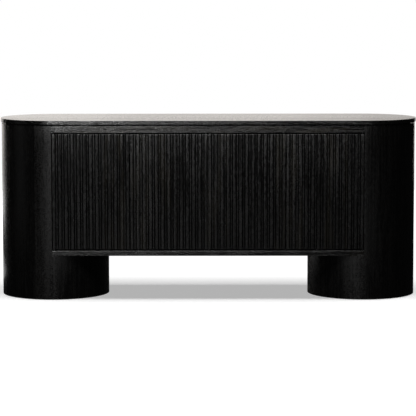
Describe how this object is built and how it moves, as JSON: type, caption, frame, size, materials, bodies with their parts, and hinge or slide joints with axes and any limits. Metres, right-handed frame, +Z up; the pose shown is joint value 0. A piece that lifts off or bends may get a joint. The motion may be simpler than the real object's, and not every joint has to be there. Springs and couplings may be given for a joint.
{
  "type": "sideboard buffet",
  "caption": "Pill-shaped black oak sideboard with reeded push-to-open doors, a thin overhanging top and round drum feet.",
  "frame": {"origin": "on the floor, under the middle of the top", "axes": "+X to the viewer's right along the length, -Y out of the doors, +Z up"},
  "size_m": [2.01, 0.526, 0.856],
  "materials": {
    "black_oak": "satin black-stained oak veneer, open grain",
    "black_board": "matt black-stained board",
    "steel": "black-oxide steel",
    "nylon": "moulded black nylon"
  },
  "bodies": {
    "root": {"top_panel": "black_oak", "case_top": "black_board", "case_bottom": "black_board", "top_rail": "black_oak", "bottom_rail": "black_oak", "back_panel": "black_oak", "closing_strip": "black_board", "left_end_shell": "black_oak", "left_foot_shell": "black_oak", "left_end_former": "black_board", "left_foot_base": "black_board", "left_foot_cap": "black_board", "left_glide_1": "nylon", "left_glide_2": "nylon", "left_glide_3": "nylon", "right_end_shell": "black_oak", "right_foot_shell": "black_oak", "right_end_former": "black_board", "right_foot_base": "black_board", "right_foot_cap": "black_board", "right_glide_1": "nylon", "right_glide_2": "nylon", "right_glide_3": "nylon", "left_gable": "black_board", "right_gable": "black_board", "centre_partition": "black_board", "left_shelf": "black_board", "left_shelf_pin_inner_front": "steel", "left_shelf_pin_inner_back": "steel", "left_shelf_pin_outer_front": "steel", "left_shelf_pin_outer_back": "steel", "right_shelf": "black_board", "right_shelf_pin_inner_front": "steel", "right_shelf_pin_inner_back": "steel", "right_shelf_pin_outer_front": "steel", "right_shelf_pin_outer_back": "steel", "left_outer_lower_bush": "nylon", "left_outer_latch": "nylon", "left_inner_lower_bush": "nylon", "left_inner_latch": "nylon", "right_inner_lower_bush": "nylon", "right_inner_latch": "nylon", "right_outer_lower_bush": "nylon", "right_outer_latch": "nylon"},
    "left_outer_door": {"left_outer_door": "black_oak", "left_outer_upper_pivot": "steel", "left_outer_lower_pivot": "steel"},
    "left_outer_plunger": {"left_outer_plunger": "nylon"},
    "left_inner_door": {"left_inner_door": "black_oak", "left_inner_upper_pivot": "steel", "left_inner_lower_pivot": "steel"},
    "left_inner_plunger": {"left_inner_plunger": "nylon"},
    "right_inner_door": {"right_inner_door": "black_oak", "right_inner_upper_pivot": "steel", "right_inner_lower_pivot": "steel"},
    "right_inner_plunger": {"right_inner_plunger": "nylon"},
    "right_outer_door": {"right_outer_door": "black_oak", "right_outer_upper_pivot": "steel", "right_outer_lower_pivot": "steel"},
    "right_outer_plunger": {"right_outer_plunger": "nylon"}
  },
  "joints": [
    {"name": "left_outer_hinge", "type": "hinge", "parent": "root", "child": "left_outer_door", "pos_m": [-0.731, -0.2525, 0.517], "axis": [0, 0, -1], "range_deg": [0, 110]},
    {"name": "left_inner_hinge", "type": "hinge", "parent": "root", "child": "left_inner_door", "pos_m": [-0.0095, -0.2525, 0.517], "axis": [0, 0, 1], "range_deg": [0, 90]},
    {"name": "right_inner_hinge", "type": "hinge", "parent": "root", "child": "right_inner_door", "pos_m": [0.0095, -0.2525, 0.517], "axis": [0, 0, -1], "range_deg": [0, 90]},
    {"name": "right_outer_hinge", "type": "hinge", "parent": "root", "child": "right_outer_door", "pos_m": [0.731, -0.2525, 0.517], "axis": [0, 0, 1], "range_deg": [0, 110]},
    {"name": "left_outer_push_latch", "type": "slide", "parent": "root", "child": "left_outer_plunger", "axis": [0, 1, 0], "range_m": [0, 0.003], "stiffness_N_per_m": 400},
    {"name": "left_inner_push_latch", "type": "slide", "parent": "root", "child": "left_inner_plunger", "axis": [0, 1, 0], "range_m": [0, 0.003], "stiffness_N_per_m": 400},
    {"name": "right_inner_push_latch", "type": "slide", "parent": "root", "child": "right_inner_plunger", "axis": [0, 1, 0], "range_m": [0, 0.003], "stiffness_N_per_m": 400},
    {"name": "right_outer_push_latch", "type": "slide", "parent": "root", "child": "right_outer_plunger", "axis": [0, 1, 0], "range_m": [0, 0.003], "stiffness_N_per_m": 400}
  ]
}
